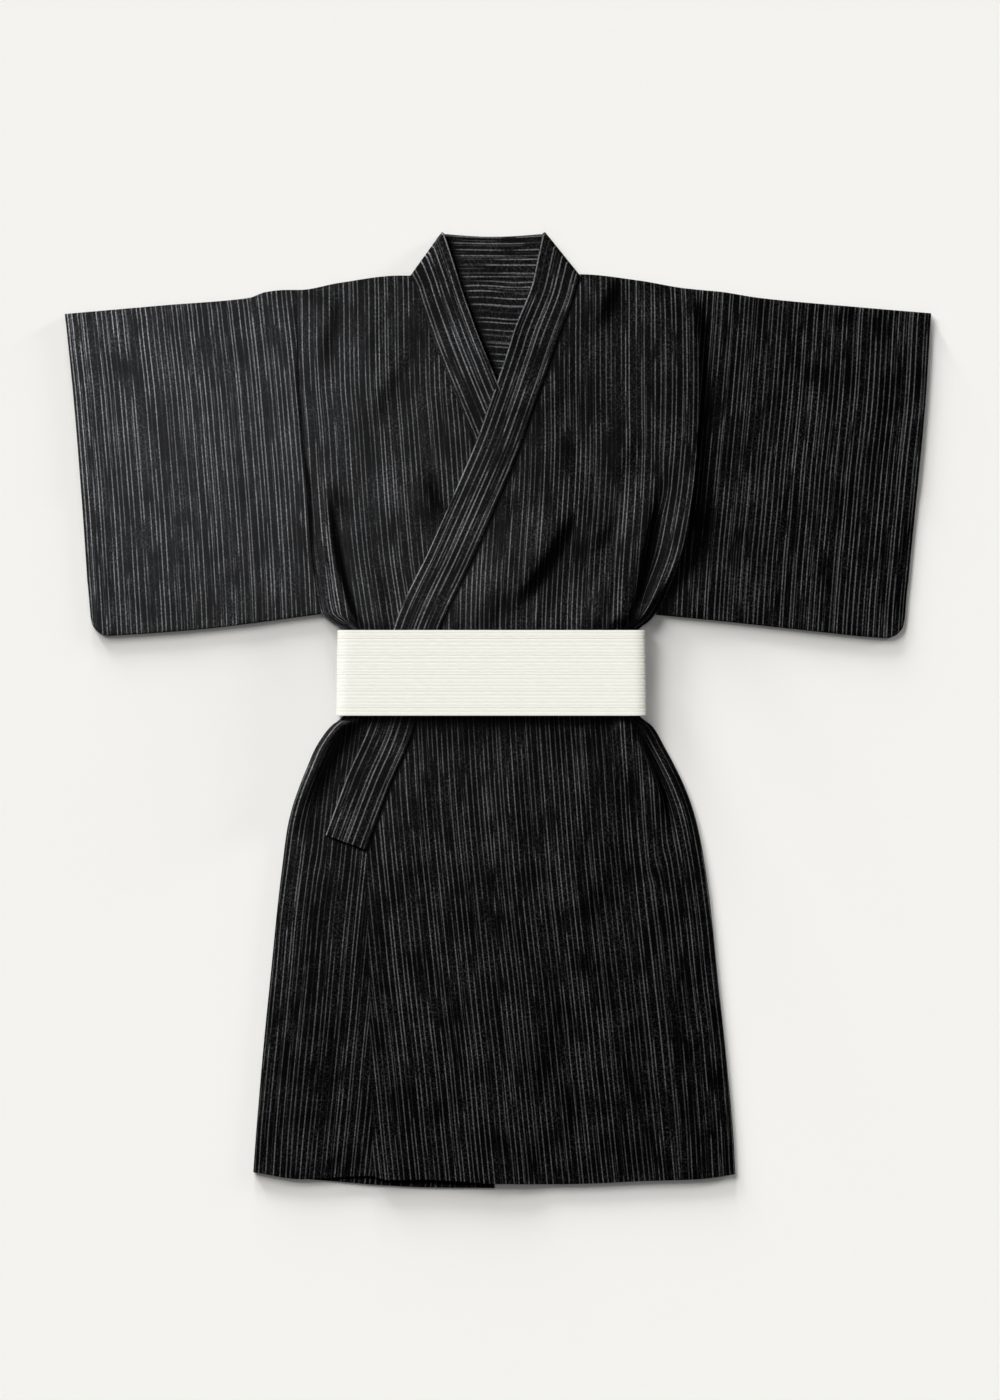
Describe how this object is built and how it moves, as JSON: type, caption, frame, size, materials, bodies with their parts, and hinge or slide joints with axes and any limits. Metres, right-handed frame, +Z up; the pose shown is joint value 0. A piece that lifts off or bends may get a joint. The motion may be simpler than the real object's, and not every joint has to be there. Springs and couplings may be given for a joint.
{
  "type": "kimono laid flat with its sash",
  "caption": "Short striped cotton kimono laid flat, closed left over right, with square sleeves, band collar and a white ribbed sash round the waist.",
  "frame": {"origin": "middle of the outline, at the flat underside that lies on the table", "axes": "+X to the right of the laid-out garment, which is the wearer's left; +Y from the hem to the collar; +Z up from the table"},
  "size_m": [1.298, 1.4335, 0.0225],
  "materials": {
    "striped_cotton": "matt black cotton with thin grey stripes",
    "sash_cotton": "matt off-white ribbed weave"
  },
  "bodies": {
    "root": {"body_right": "striped_cotton", "body_left": "striped_cotton", "overlap_right": "striped_cotton", "overlap_left": "striped_cotton", "sleeve_right": "striped_cotton", "sleeve_left": "striped_cotton", "collar": "striped_cotton", "yoke_lining_right": "striped_cotton", "yoke_lining_left": "striped_cotton", "sash": "sash_cotton"}
  },
  "joints": []
}
